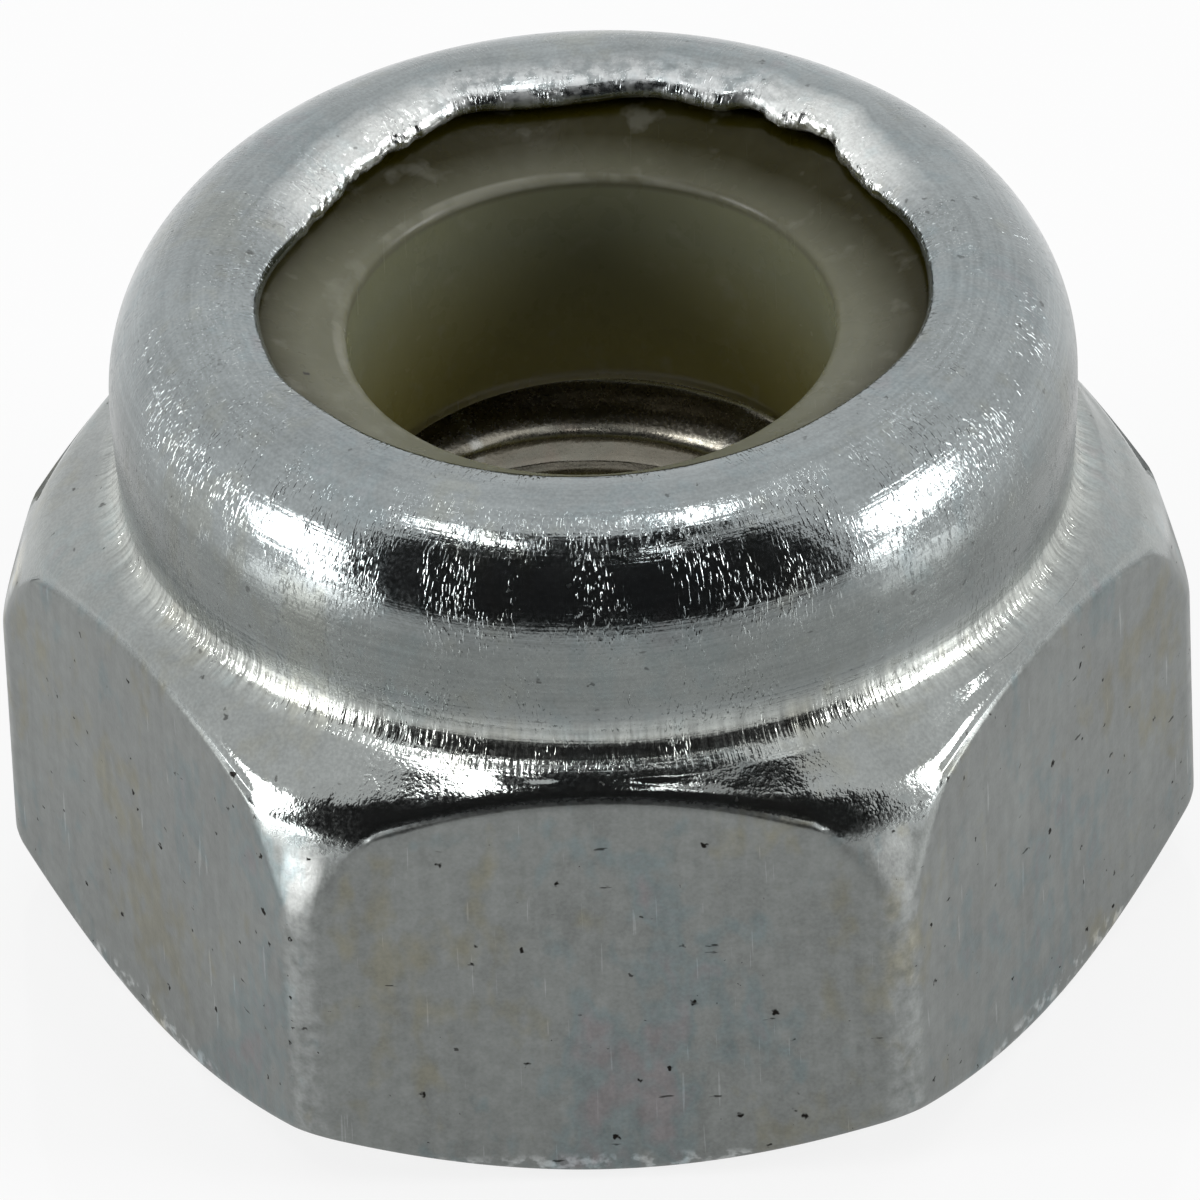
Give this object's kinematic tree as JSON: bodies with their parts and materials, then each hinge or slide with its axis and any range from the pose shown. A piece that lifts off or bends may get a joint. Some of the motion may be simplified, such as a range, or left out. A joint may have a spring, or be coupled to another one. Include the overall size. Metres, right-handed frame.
{
  "type": "nylon insert lock nut",
  "caption": "Hexagon lock nut with a rolled collar that holds a nylon ring, so that the ring grips the screw and the nut doesn't shake loose.",
  "frame": {"origin": "on the thread axis, in the bearing face that the nut stands on", "axes": "+Z along the thread axis, from the bearing face towards the collar; a flat of the hexagon faces -Y, and corners point along +X and -X"},
  "size_m": [0.0126, 0.0112, 0.0079],
  "materials": {
    "zinc_steel": "dull zinc plate with fine scratches, pits and a little handling wear",
    "nylon": "natural nylon, slightly see-through, scuffed by handling"
  },
  "bodies": {
    "root": {"nut_body": "zinc_steel", "locking_ring": "nylon"}
  },
  "joints": []
}
